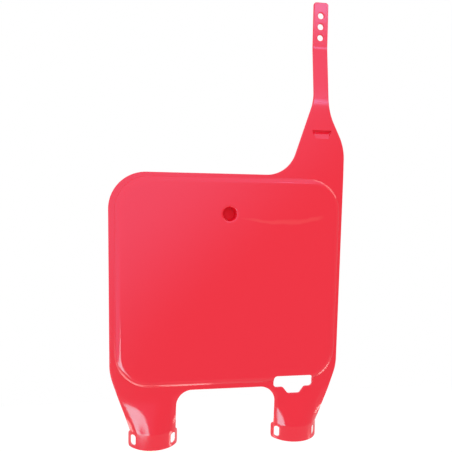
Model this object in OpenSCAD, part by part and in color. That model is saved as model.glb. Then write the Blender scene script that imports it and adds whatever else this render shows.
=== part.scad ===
// Racing number board for the front of an off-road motorbike.
// One injection moulded plastic sheet of even wall: a flat panel with a raised field for the
// number, a strap that buttons over the handlebar, and two legs that swell from flat sheet into
// half sleeves, which the bike's fork tubes lie in.
// X runs across the board, Z runs up it, and the front faces -Y.
// The origin is where the locating peg leaves the back face of the raised field.

/* [Panel] */
// Wall thickness of the moulding
wall = 2.5; // [2:0.1:3.2]
// Width of the panel at its top edge
panel_w = 250; // [240:1:280]
// Width of the panel at its foot, measured to the sides' own line
panel_foot_w = 244; // [236:1:274]
// Height of the panel from its foot to its top edge
panel_h = 228; // [205:1:250]
// Depth of the locating peg's axis below the top edge
peg_drop = 42; // [36:1:80]
// Radius of the free top corner
corner_r = 38; // [20:1:60]

/* [Raised field] */
// Height that the field stands proud of the rim
field_rise = 2.5; // [1.5:0.1:2.5]
// Flat rim left of the field
rim_left = 6.2; // [4:0.1:14]
// Flat rim right of the field
rim_right = 3.2; // [2:0.1:14]
// Flat rim above the field
rim_top = 3.8; // [2:0.1:14]
// Flat rim below the field
rim_foot = 5; // [3:0.1:14]
// Corner radius of the field at its foot
field_r = 35; // [20:1:50]
// Width of the rounded shoulder, from the field's foot to its flat
shoulder_w = 6; // [4:0.1:9]

/* [Neck and strap] */
// Distance of the strap's axis from the panel's centre line
strap_x = 98; // [80:1:104]
// Width of the strap
strap_w = 16.5; // [14:0.5:20]
// Height of the strap's end above the panel's top edge
strap_rise = 186; // [175:1:230]
// Corner radius of the strap's end
strap_end_r = 3.2; // [1:0.1:6]
// Distance that the strap's end is set back behind the panel
strap_set = 9; // [4:0.5:14]
// Height of the lower bend above the panel's top edge
low_bend_z = 75; // [68:1:85]
// Radius of the lower bend
low_bend_r = 100; // [50:5:140]
// Height of the upper bend above the panel's top edge
high_bend_z = 137; // [125:1:142]
// Radius of the upper bend
high_bend_r = 32; // [15:1:60]
// Spread of the neck's left edge from the strap's axis, at the top edge
neck_spread = 35; // [28:1:50]
// Radius where the neck's left edge runs into the top edge
neck_root_r = 33; // [15:1:45]
// Height at which the neck's left edge meets the strap
neck_left_h = 81; // [70:1:95]
// Height of the shoulder where the panel's right side turns in
neck_turn_h = 31; // [26:1:36]
// Radius of that shoulder
neck_turn_r = 55; // [30:1:70]
// Height at which the neck's right edge meets the strap
neck_right_h = 69; // [62:1:85]
// Radius where both edges of the neck run into the strap
neck_tip_r = 60; // [20:1:65]

/* [Strap holes] */
// Diameter of each hole
hole_d = 6.5; // [4:0.1:9]
// Distance from one hole to the next
hole_pitch = 11.6; // [10.5:0.1:13]
// Number of holes
hole_n = 3; // [1:1:3]
// Distance of the top hole from the strap's end
hole_end = 14.2; // [8:0.1:16]

/* [Locating peg] */
// Radius of the blind cup in the front, which the peg is formed round
cup_r = 7; // [5:0.1:10]
// Length of the peg behind the field's back face
peg_l = 12; // [8:0.5:20]
// Radius of the rounded lip of the cup
lip_r = 2.4; // [1:0.1:2.4]

/* [Wedge] */
// Distance of the wedge's axis from the panel's centre line
wedge_x = 99.3; // [90:0.1:104]
// Height of the wedge's ledge above the panel's top edge
wedge_z = 48.5; // [38:0.5:54]
// Width of the pocket at its ledge
wedge_w = 22; // [14:0.5:24]
// Width of the pocket at its lower end
wedge_foot_w = 15; // [8:0.5:18]
// Height of the pocket
wedge_h = 8; // [6:0.5:12]
// Depth of the pocket at its ledge
wedge_d = 4; // [2.5:0.1:6]

/* [Legs and sleeves] */
// Distance between the axes of the two sleeves
leg_gauge = 154; // [148:1:160]
// Length of each leg from the panel's foot to its sleeve
leg_drop = 41.5; // [36:0.5:60]
// Half width of a leg where it meets its sleeve
leg_hw = 24; // [22:0.1:24.8]
// Half width of a leg on its outer side at the panel's foot
leg_flare = 38.3; // [30:0.1:40]
// Radius where the panel's side turns into the leg
leg_turn_r = 55; // [20:1:60]
// Radius of the crotch between a leg and the panel's foot
crotch_r = 16; // [8:1:24]
// Radius at which a leg starts to come forward
leg_bend_r = 50; // [30:1:70]
// Inner radius of a sleeve, for the fork tube
sleeve_r = 25; // [24:0.1:26.5]
// Height of a sleeve
sleeve_h = 17; // [15:0.5:30]
// Distance of a sleeve's axis behind the panel's front plane
sleeve_set = 17.4; // [15:0.1:20]
// Distance of the sleeve's ears behind the panel's front plane
ear_set = 8; // [6:0.1:10]
// Corner radius of the ears
ear_r = 4; // [1:0.1:5]

/* [Strap slots] */
// Width of each slot across the sleeve
slot_w = 4.8; // [3:0.1:5]
// Length of each slot along the sleeve
slot_l = 11.5; // [8:0.1:12.5]
// Wall left outside a slot, measured across the leg
slot_edge = 2.9; // [2.8:0.1:4]

/* [Cut-out] */
// Distance of the cut-out's axis from the panel's centre line
cut_x = 73.3; // [68:0.1:80]
// Width of the cut-out
cut_w = 43; // [30:0.5:48]
// Height of the cut-out's straight part
cut_h = 12.7; // [8:0.1:14]
// Distance of the cut-out's top above the panel's foot
cut_up = 11.4; // [8:0.1:14]
// Width of the notch at its mouth
notch_w = 24; // [18:0.5:28]
// Width of the notch at its bottom
notch_foot_w = 13; // [8:0.5:16]
// Depth of the notch below the straight part
notch_h = 7; // [4:0.1:8]
// Distance of the notch's axis from the cut-out's axis
notch_shift = 0.9; // [-3:0.1:3]
// Corner radius of the cut-out
cut_r = 3.6; // [2:0.1:5]

/* [Hidden] */

red = "#ee3546";

// Steps in one rounded corner, in one sleeve side and down one leg
corner_steps = 9;
side_steps = 12;
crotch_steps = 8;
leg_steps = 7;

// Overlap of solids that are joined, and overshoot of cutters
lap = 1;

// How far a leg's faces lie within the sleeve's faces where the two meet
leg_seat = 0.08;

// Heights of the panel's own lines
top_z = peg_drop;
foot_z = top_z - panel_h;
end_z = top_z + strap_rise;
sleeve_top_z = foot_z - leg_drop;
sleeve_foot_z = sleeve_top_z - sleeve_h;

// The sleeve's outer radius, and where its front, leg edge and ear lie behind the panel's plane
sleeve_out_r = sleeve_r + wall;
ridge_set = sleeve_set - sleeve_out_r;
edge_set = sleeve_set - sqrt(sleeve_out_r ^ 2 - leg_hw ^ 2);
ear_x = sqrt(sleeve_out_r ^ 2 - (sleeve_set - ear_set) ^ 2);
leg_x = leg_gauge / 2;

// Outer edge of the leg as a slope, and the side's own slope
flare_slope = (leg_flare - leg_hw) / leg_drop;
side_slope = (panel_w - panel_foot_w) / 2 / panel_h;
side_turn = (panel_foot_w / 2 - leg_x - leg_flare) / (flare_slope - side_slope);

function unit(v) = v / norm(v);

// Circular fillet of radius r at corner p between neighbours a and b
function fillet(a, p, b, r, steps) =
    r <= 0 ? [p] :
    let (
        u = unit(a - p),
        v = unit(b - p),
        half = acos(u * v) / 2,
        centre = p + unit(u + v) * r / sin(half),
        from = p + u * r / tan(half) - centre,
        to = p + v * r / tan(half) - centre,
        start = atan2(from[1], from[0]),
        turn = atan2(to[1], to[0]) - start,
        sweep = turn > 180 ? turn - 360 : turn < -180 ? turn + 360 : turn
    )
    [for (i = [0 : steps]) centre + r * [cos(start + sweep * i / steps), sin(start + sweep * i / steps)]];

// Closed outline through corners [x, y, radius]
function rounded(corners, steps = corner_steps) =
    let (n = len(corners))
    [for (i = [0 : n - 1])
        let (a = corners[(i + n - 1) % n], p = corners[i], b = corners[(i + 1) % n])
        each fillet([a[0], a[1]], [p[0], p[1]], [b[0], b[1]], p[2], steps)];

// The same corners with every edge moved inwards by d; corners run anticlockwise
function inset(corners, d) =
    let (n = len(corners))
    [for (i = [0 : n - 1])
        let (
            a = corners[(i + n - 1) % n],
            p = corners[i],
            b = corners[(i + 1) % n],
            e = unit([p[0] - a[0], p[1] - a[1]]),
            f = unit([b[0] - p[0], b[1] - p[1]]),
            m = [-e[1], e[0]] + [-f[1], f[0]],
            shift = 2 * d * m / (m * m)
        )
        [p[0] + shift[0], p[1] + shift[1], max(p[2] - d, 0.2)]];

// Faces of a flat end whose ring starts at point m: a fan, or a strip across a thin section
function end_faces(m, n, thin) =
    thin
        ? [for (i = [0 : n / 2 - 2])
            each [[m + i, m + i + 1, m + n - 1 - i], [m + i + 1, m + n - 2 - i, m + n - 1 - i]]]
        : [[for (i = [0 : n - 1]) m + i]];

// Closed solid through rings of equal length. A thin section runs along one face and back along
// the other, point for point.
module skin(rings, thin = false) {
    n = len(rings[0]);
    last = len(rings) - 1;
    polyhedron(
        points = [for (ring = rings) each ring],
        faces = concat(
            end_faces(0, n, thin),
            [for (k = [0 : last - 1], i = [0 : n - 1])
                let (j = (i + 1) % n)
                each [[k * n + i, (k + 1) * n + i, (k + 1) * n + j], [k * n + i, (k + 1) * n + j, k * n + j]]],
            [for (face = end_faces(last * n, n, thin)) [for (i = [len(face) - 1 : -1 : 0]) face[i]]]
        ),
        convexity = 10
    );
}

// Extrudes a front view outline from front to back
module through(front, back) {
    translate([0, back, 0]) rotate([90, 0, 0]) linear_extrude(back - front) children();
}

// Half width of the panel's own side at height z
function side_x(z) = panel_foot_w / 2 + (z - foot_z) * side_slope;

// Flat outline: panel, neck and strap, down to the foot
module sheet_outline() {
    turn_z = foot_z + side_turn;
    neck_z = top_z + neck_turn_h;
    polygon(rounded([
        [-leg_x - leg_flare, foot_z, 0],
        [leg_x + leg_flare, foot_z, 0],
        [side_x(turn_z), turn_z, leg_turn_r],
        [side_x(top_z), top_z, 0],
        [side_x(top_z), neck_z, neck_turn_r],
        [strap_x + strap_w / 2, top_z + neck_right_h, neck_tip_r],
        [strap_x + strap_w / 2, end_z, strap_end_r],
        [strap_x - strap_w / 2, end_z, strap_end_r],
        [strap_x - strap_w / 2, top_z + neck_left_h, neck_tip_r],
        [strap_x - neck_spread, top_z, neck_root_r],
        [-side_x(top_z), top_z, corner_r],
        [-side_x(turn_z), turn_z, leg_turn_r]
    ]));
}

// Side view of the sheet: flat over the panel, then set back towards the strap's end
module sheet_profile() {
    lean = atan(strap_set / (high_bend_z - low_bend_z));
    slip = wall * tan(lean / 2);
    low = top_z + low_bend_z;
    high = top_z + high_bend_z;
    polygon(rounded([
        [0, foot_z - lap, 0],
        [wall, foot_z - lap, 0],
        [wall, low - slip, low_bend_r],
        [strap_set + wall, high - slip, high_bend_r + wall],
        [strap_set + wall, end_z + lap, 0],
        [strap_set, end_z + lap, 0],
        [strap_set, high, high_bend_r],
        [0, low, low_bend_r + wall]
    ]));
}

// The sheet that everything else grows out of
module sheet() {
    intersection() {
        through(-lap, strap_set + wall + lap) sheet_outline();
        translate([-panel_w, 0, 0]) rotate([90, 0, 90]) linear_extrude(2 * panel_w) sheet_profile();
    }
}

// Corners of the raised field at its foot
function field_corners() = [
    [-side_x(foot_z) + rim_left, foot_z + rim_foot, field_r],
    [side_x(foot_z) - rim_right, foot_z + rim_foot, field_r],
    [side_x(top_z) - rim_right, top_z - rim_top, field_r],
    [-side_x(top_z) + rim_left, top_z - rim_top, field_r]
];

// The shoulder is an arc that is tangent to the field's flat; the wall keeps its centre
shoulder_r = (shoulder_w ^ 2 + field_rise ^ 2) / (2 * field_rise);
shoulder_y = shoulder_r - field_rise;

// Rings of a pad whose edge is an arc of radius r about the shoulder's centre, from plane y = flare
function pad_rings(r, flare) =
    let (
        steps = 6,
        reach = acos((shoulder_y - flare) / r),
        base = shoulder_w - r * sin(reach),
        foot = [for (p = rounded(inset(field_corners(), base))) [p[0], flare + lap, p[1]]]
    )
    [
        foot,
        for (i = [0 : steps])
            let (a = reach * (1 - i / steps))
            [for (p = rounded(inset(field_corners(), shoulder_w - r * sin(a)))) [p[0], shoulder_y - r * cos(a), p[1]]]
    ];

module field_pad() { skin(pad_rings(shoulder_r, 0)); }

module field_hollow() { skin(pad_rings(shoulder_r - wall, wall)); }

// How far a leg's ridge has come forward at depth t below the foot, as a share of the whole
bend_half = (leg_drop - sqrt(leg_drop ^ 2 + ridge_set * (2 * leg_bend_r + ridge_set))) / (2 * leg_bend_r + ridge_set);
bend_angle = 2 * atan(bend_half);
bend_t = leg_bend_r * sin(bend_angle);
function leg_share(t) =
    (t < bend_t
        ? leg_bend_r - sqrt(leg_bend_r ^ 2 - t ^ 2)
        : leg_bend_r * (1 - cos(bend_angle)) + (t - bend_t) * tan(bend_angle)) / -ridge_set;

// Half widths of a leg at depth t: towards the board's centre, and outwards
function inner_hw(t) =
    t < crotch_r ? leg_hw + crotch_r - sqrt(crotch_r ^ 2 - (crotch_r - t) ^ 2) : leg_hw;
function outer_hw(t) = leg_flare - flare_slope * t;

// One side of a leg's section, as [offset, y] at share u from ridge to edge, moved back by depth
function side_point(hw, t, u, depth) =
    let (
        ridge = ridge_set * leg_share(t),
        sag = (edge_set - ridge_set) * leg_share(t),
        angle = 2 * atan(sag / hw),
        flat = angle < 0.05
    )
    [
        flat ? hw * u : hw * sin(angle * u) / sin(angle) - depth * sin(angle * u),
        depth * cos(angle * u) + ridge + (flat ? sag * u ^ 2 : sag * (1 - cos(angle * u)) / (1 - cos(angle)))
    ];

// Closed section of a leg at depth t: front face across, then back face returning. The section is
// thinner by the seat on both faces.
function leg_ring(t, seat, z) = [
    for (depth = [seat, wall - seat], k = [-side_steps : side_steps])
        let (
            i = depth == seat ? -k : k,
            hw = i < 0 ? inner_hw(t) : outer_hw(t),
            p = side_point(hw, t, abs(i) / side_steps, depth)
        )
        [leg_x + (i < 0 ? -p[0] : p[0]), p[1], z]
];

// Right leg: the flat sheet swells forward until its section is the sleeve's own arc, and its
// end is let into the sleeve's wall
module leg() {
    crotch = [for (i = [0 : crotch_steps]) crotch_r * (1 - cos(90 * i / crotch_steps))];
    rest = [for (i = [1 : leg_steps]) crotch_r + (leg_drop - crotch_r) * i / leg_steps];
    skin([
        leg_ring(0, 0, foot_z + lap / 2),
        for (t = concat(crotch, rest)) leg_ring(t, leg_seat * t / leg_drop, foot_z - t),
        leg_ring(leg_drop, wall / 4, sleeve_top_z - lap)
    ], thin = true);
}

// Right sleeve: an arc of tube with rounded ears
module sleeve() {
    intersection() {
        translate([leg_x, sleeve_set, sleeve_foot_z]) difference() {
            cylinder(h = sleeve_h, r = sleeve_out_r, $fn = 180);
            translate([0, 0, -lap]) cylinder(h = sleeve_h + 2 * lap, r = sleeve_r, $fn = 180);
        }
        translate([leg_x - sleeve_out_r - lap, 0, 0]) rotate([90, 0, 90])
            linear_extrude(2 * (sleeve_out_r + lap)) polygon(rounded([
                [ridge_set - lap, sleeve_foot_z - lap, 0],
                [0, sleeve_foot_z - lap, 0],
                [0, sleeve_foot_z, 0],
                [ear_set, sleeve_foot_z, ear_r],
                [ear_set, sleeve_top_z, ear_r],
                [0, sleeve_top_z, 0],
                [0, sleeve_top_z + lap, 0],
                [ridge_set - lap, sleeve_top_z + lap, 0]
            ]));
    }
}

// Front view of one strap slot
module slot_shape() {
    run = slot_l / 2 - slot_w / 2;
    square([slot_w, 2 * run], center = true);
    for (side = [-1, 1]) translate([0, side * run]) circle(d = slot_w, $fn = 48);
}

// Cutters for a leg's two slots, in the direction the mould opens
module slots() {
    x = ear_x - slot_edge - slot_w / 2;
    through(ridge_set - lap, ear_set + lap)
        for (side = [-1, 1])
            translate([leg_x + side * x, (sleeve_top_z + sleeve_foot_z) / 2]) slot_shape();
}

// Hollow peg behind the field
module peg() {
    translate([0, peg_l, 0]) rotate([90, 0, 0]) cylinder(h = peg_l + field_rise / 2, r = cup_r + wall, $fn = 96);
}

// Cutter for the blind cup and its rounded lip
module cup() {
    depth = field_rise + peg_l - wall;
    translate([0, -field_rise, 0]) rotate([-90, 0, 0]) rotate_extrude($fn = 96) difference() {
        union() {
            translate([0, -lap]) square([cup_r, depth + lap]);
            translate([0, -lap]) square([cup_r + lip_r, lap + lip_r]);
        }
        translate([cup_r + lip_r, lip_r]) circle(r = lip_r, $fn = 64);
    }
}

// Wedge in the neck, behind plane y = front: the pocket's own shape grown by extra all round.
// Its side view is a triangle and its front view a trapezium.
module wedge(extra, front) {
    slope = wedge_d / wedge_h;
    head = top_z + wedge_z + extra;
    low = top_z + wedge_z - wedge_h - extra / sin(atan(slope));
    depth = slope * (head - low);
    ledge = wedge_w / 2 + extra;
    foot = wedge_foot_w / 2 + extra;
    intersection() {
        translate([wedge_x - wedge_w, 0, 0]) rotate([90, 0, 90]) linear_extrude(2 * wedge_w)
            polygon([[front, head], [depth, head], [front, low + front / slope]]);
        through(front, depth + lap) polygon([
            [wedge_x - ledge, head + lap],
            [wedge_x - foot, low - lap],
            [wedge_x + foot, low - lap],
            [wedge_x + ledge, head + lap]
        ]);
    }
}

// Front view of the T shaped cut-out over the right leg
module cut_shape() {
    head = foot_z + cut_up;
    ledge = head - cut_h;
    bottom = ledge - notch_h;
    mid = cut_x + notch_shift;
    polygon(rounded([
        [mid - notch_w / 2, ledge, cut_r],
        [mid - notch_foot_w / 2, bottom, cut_r],
        [mid + notch_foot_w / 2, bottom, cut_r],
        [mid + notch_w / 2, ledge, cut_r],
        [cut_x + cut_w / 2, ledge, cut_r],
        [cut_x + cut_w / 2, head, cut_r],
        [cut_x - cut_w / 2, head, cut_r],
        [cut_x - cut_w / 2, ledge, cut_r]
    ], 6));
}

module strap_holes() {
    for (i = [0 : hole_n - 1])
        translate([strap_x, strap_set - lap, end_z - hole_end - i * hole_pitch])
            rotate([-90, 0, 0]) cylinder(h = wall + 2 * lap, d = hole_d, $fn = 48);
}

// The one moulding
module number_board() {
    color(red) difference() {
        union() {
            difference() {
                union() {
                    sheet();
                    field_pad();
                }
                field_hollow();
            }
            peg();
            wedge(wall, wall / 2);
            for (side = [0, 1]) mirror([side, 0, 0]) {
                leg();
                sleeve();
            }
        }
        cup();
        wedge(0, -lap);
        strap_holes();
        for (side = [0, 1]) mirror([side, 0, 0]) slots();
        through(ridge_set - lap, ear_set) cut_shape();
    }
}

number_board();
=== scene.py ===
"""Racing number board for the front of an off-road motorbike.

The board is one glossy red injection-moulded plastic sheet: a panel with a raised field, a strap that
buttons over the handlebar, and two legs that swell from flat sheet into half sleeves. Its front and back
are smooth height fields over the front view, meshed inside the board's outlines and joined round every
edge by a rounded rim. Sizes are in millimetres in the frame of the CAD model, and in metres in Blender.
"""

import logging
import math
from dataclasses import dataclass, field
from enum import Enum
from typing import Callable, Sequence

import bpy
import numpy as np
from mathutils import Matrix, Vector
from mathutils.geometry import delaunay_2d_cdt
from numpy.typing import NDArray

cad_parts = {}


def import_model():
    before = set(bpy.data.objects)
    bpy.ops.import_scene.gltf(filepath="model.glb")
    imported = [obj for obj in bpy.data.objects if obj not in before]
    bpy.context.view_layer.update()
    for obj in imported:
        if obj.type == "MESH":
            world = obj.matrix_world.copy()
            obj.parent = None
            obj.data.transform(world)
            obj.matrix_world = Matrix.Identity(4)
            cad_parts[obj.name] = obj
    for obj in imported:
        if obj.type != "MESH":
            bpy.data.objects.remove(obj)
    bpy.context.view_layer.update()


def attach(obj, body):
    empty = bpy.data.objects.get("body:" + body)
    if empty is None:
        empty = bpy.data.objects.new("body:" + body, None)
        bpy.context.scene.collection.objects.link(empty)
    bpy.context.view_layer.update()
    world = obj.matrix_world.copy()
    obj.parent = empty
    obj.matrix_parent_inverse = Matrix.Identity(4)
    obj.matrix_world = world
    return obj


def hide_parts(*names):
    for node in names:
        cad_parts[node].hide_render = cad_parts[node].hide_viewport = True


LOG = logging.getLogger("number_board")
Array = NDArray[np.float64]
Ints = NDArray[np.int64]
Corner = tuple[float, float, float]
Span = tuple[float, float]
Socket = bpy.types.NodeSocket
Inputs = dict[str | int, object]

MM = 0.001
NODE = "number_board"
PIECE = "board_moulding"
TINY = 1e-6
BATCH = 4_000_000
QUARTER = math.pi / 2
UNIT = (0.0, 1.0)


class Face(Enum):
    """The two broad faces of the moulding."""

    FRONT = "front"
    BACK = "back"


@dataclass(frozen=True)
class BoardSizes:
    """Sizes of the board in millimetres, the same values as in the CAD source."""

    wall: float = 2.5
    panel_w: float = 250.0
    panel_foot_w: float = 244.0
    panel_h: float = 228.0
    peg_drop: float = 42.0
    corner_r: float = 38.0
    field_rise: float = 2.5
    rim_left: float = 6.2
    rim_right: float = 3.2
    rim_top: float = 3.8
    rim_foot: float = 5.0
    field_r: float = 35.0
    shoulder_w: float = 6.0
    strap_x: float = 98.0
    strap_w: float = 16.5
    strap_rise: float = 186.0
    strap_end_r: float = 3.2
    strap_set: float = 9.0
    low_bend_z: float = 75.0
    low_bend_r: float = 100.0
    high_bend_z: float = 137.0
    high_bend_r: float = 32.0
    neck_spread: float = 35.0
    neck_root_r: float = 33.0
    neck_left_h: float = 81.0
    neck_turn_h: float = 31.0
    neck_turn_r: float = 55.0
    neck_right_h: float = 69.0
    neck_tip_r: float = 60.0
    hole_d: float = 6.5
    hole_pitch: float = 11.6
    hole_n: int = 3
    hole_end: float = 14.2
    cup_r: float = 7.0
    peg_l: float = 12.0
    lip_r: float = 2.4
    wedge_x: float = 99.3
    wedge_z: float = 48.5
    wedge_w: float = 22.0
    wedge_foot_w: float = 15.0
    wedge_h: float = 8.0
    wedge_d: float = 4.0
    leg_gauge: float = 154.0
    leg_drop: float = 41.5
    leg_hw: float = 24.0
    leg_flare: float = 38.3
    leg_turn_r: float = 55.0
    crotch_r: float = 16.0
    leg_bend_r: float = 50.0
    sleeve_r: float = 25.0
    sleeve_h: float = 17.0
    sleeve_set: float = 17.4
    ear_set: float = 8.0
    ear_r: float = 4.0
    slot_w: float = 4.8
    slot_l: float = 11.5
    slot_edge: float = 2.9
    cut_x: float = 73.3
    cut_w: float = 43.0
    cut_h: float = 12.7
    cut_up: float = 11.4
    notch_w: float = 24.0
    notch_foot_w: float = 13.0
    notch_h: float = 7.0
    notch_shift: float = 0.9
    cut_r: float = 3.6

    @property
    def top_z(self) -> float:
        """Height of the panel's top edge."""
        return self.peg_drop

    @property
    def foot_z(self) -> float:
        """Height of the panel's foot."""
        return self.peg_drop - self.panel_h

    @property
    def end_z(self) -> float:
        """Height of the strap's end."""
        return self.top_z + self.strap_rise

    @property
    def sleeve_top_z(self) -> float:
        """Height of the crease where a leg meets its sleeve."""
        return self.foot_z - self.leg_drop

    @property
    def sleeve_foot_z(self) -> float:
        """Height of the sleeves' lower edge."""
        return self.sleeve_top_z - self.sleeve_h

    @property
    def sleeve_out_r(self) -> float:
        """Outer radius of a sleeve."""
        return self.sleeve_r + self.wall

    @property
    def ridge_set(self) -> float:
        """Place of a sleeve's foremost line behind the panel's front plane."""
        return self.sleeve_set - self.sleeve_out_r

    @property
    def edge_set(self) -> float:
        """Place of a leg's edges behind the panel's front plane, at the sleeve."""
        return self.sleeve_set - math.sqrt(self.sleeve_out_r**2 - self.leg_hw**2)

    @property
    def leg_x(self) -> float:
        """Distance of each sleeve's axis from the centre line."""
        return self.leg_gauge / 2

    def side_x(self, z: float) -> float:
        """Half width of the panel's own side at height z."""
        slope = (self.panel_w - self.panel_foot_w) / 2 / self.panel_h
        return self.panel_foot_w / 2 + (z - self.foot_z) * slope


def unit(vectors: Array) -> Array:
    """Vectors scaled to length one along the last axis."""
    return vectors / np.linalg.norm(vectors, axis=-1, keepdims=True)


def smooth_min(a: Array, b: Array, reach: float) -> Array:
    """The smaller of a and b, blended over a difference of reach by a parabola."""
    share = np.clip(0.5 + 0.5 * (b - a) / reach, 0.0, 1.0)
    return b + (a - b) * share - reach * share * (1.0 - share)


def smooth_max(a: Array, b: Array, reach: float) -> Array:
    """The larger of a and b, blended over a difference of reach by a parabola."""
    return -smooth_min(-a, -b, reach)


def fillet(before: Array, corner: Array, after: Array, radius: float, step: float) -> Array:
    """Points of a circular fillet.

    Args:
        before: Corner before this one.
        corner: Corner to round.
        after: Corner after this one.
        radius: Radius of the fillet; 0 keeps the corner.
        step: Longest distance between two points of the arc.

    Returns:
        Points from the side of before to the side of after.
    """
    if radius <= 0.0:
        return corner[None, :]
    u, v = unit(before - corner), unit(after - corner)
    half = math.acos(float(np.clip(u @ v, -1.0, 1.0))) / 2
    centre = corner + unit(u + v) * radius / math.sin(half)
    first = corner + u * radius / math.tan(half) - centre
    last = corner + v * radius / math.tan(half) - centre
    start = math.atan2(first[1], first[0])
    sweep = (math.atan2(last[1], last[0]) - start + math.pi) % (2 * math.pi) - math.pi
    angles = start + sweep * np.linspace(0.0, 1.0, max(3, math.ceil(abs(sweep) * radius / step)) + 1)
    return centre + radius * np.stack([np.cos(angles), np.sin(angles)], axis=1)


def rounded(corners: Sequence[Corner], step: float, closed: bool = True) -> Array:
    """Outline through corners (x, z, radius); an open one keeps its first and last corner."""
    places = np.array([corner[:2] for corner in corners])
    count = len(corners)
    arcs = [
        fillet(
            places[i - 1],
            places[i],
            places[(i + 1) % count],
            corners[i][2] if closed or 0 < i < count - 1 else 0.0,
            step,
        )
        for i in range(count)
    ]
    return np.concatenate(arcs)


def densify(points: Array, step: Callable[[Array], Array]) -> Array:
    """Divides the edges of a closed outline.

    Args:
        points: Points of the outline.
        step: Gives the longest allowed edge at each of an array of places.

    Returns:
        The outline's points with more points along its long edges.
    """
    way = np.roll(points, -1, axis=0) - points
    lengths = np.linalg.norm(way, axis=1)
    keep = lengths > TINY
    starts, way, lengths = points[keep], way[keep], lengths[keep]
    parts = np.maximum(1, np.ceil(lengths / step(starts + way / 2)).astype(int))
    index = np.repeat(np.arange(len(parts)), parts)
    first = np.repeat(np.cumsum(parts) - parts, parts)
    share = ((np.arange(len(index)) - first) / parts[index])[:, None]
    return starts[index] + share * way[index]


def even(step: float) -> Callable[[Array], Array]:
    """Gives the same longest edge at every place."""
    return lambda places: np.full(len(places), step)


def loop_normals(loop: Array) -> Array:
    """Unit normals of a closed outline, pointing away from the material on its left."""
    along = unit(np.roll(loop, -1, axis=0) - np.roll(loop, 1, axis=0))
    return np.stack([along[:, 1], -along[:, 0]], axis=1)


def inside(points: Array, loop: Array) -> NDArray[np.bool_]:
    """Whether each point lies inside a closed outline, by counting crossings to its right."""
    x0, z0 = loop[:, 0], loop[:, 1]
    x1, z1 = np.roll(x0, -1), np.roll(z0, -1)
    parts = np.array_split(points, max(1, len(points) * len(loop) // BATCH))
    results = []
    for part in parts:
        x, z = part[:, :1], part[:, 1:]
        spans = (z0 > z) != (z1 > z)
        rise = np.where(z0 == z1, 1.0, z1 - z0)
        results.append((spans & (x < x0 + (z - z0) * (x1 - x0) / rise)).sum(axis=1) % 2 == 1)
    return np.concatenate(results)


def clearance(points: Array, others: Array) -> Array:
    """Distance of each point to the nearest of some others."""
    parts = np.array_split(points, max(1, len(points) * len(others) // BATCH))
    return np.concatenate([
        np.sqrt(((part[:, None, :] - others[None, :, :]) ** 2).sum(axis=2).min(axis=1)) for part in parts
    ])


def grid(xs: Array, zs: Array) -> Array:
    """All points of a rectangular grid."""
    return np.stack(np.meshgrid(xs, zs), axis=-1).reshape(-1, 2)


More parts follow.
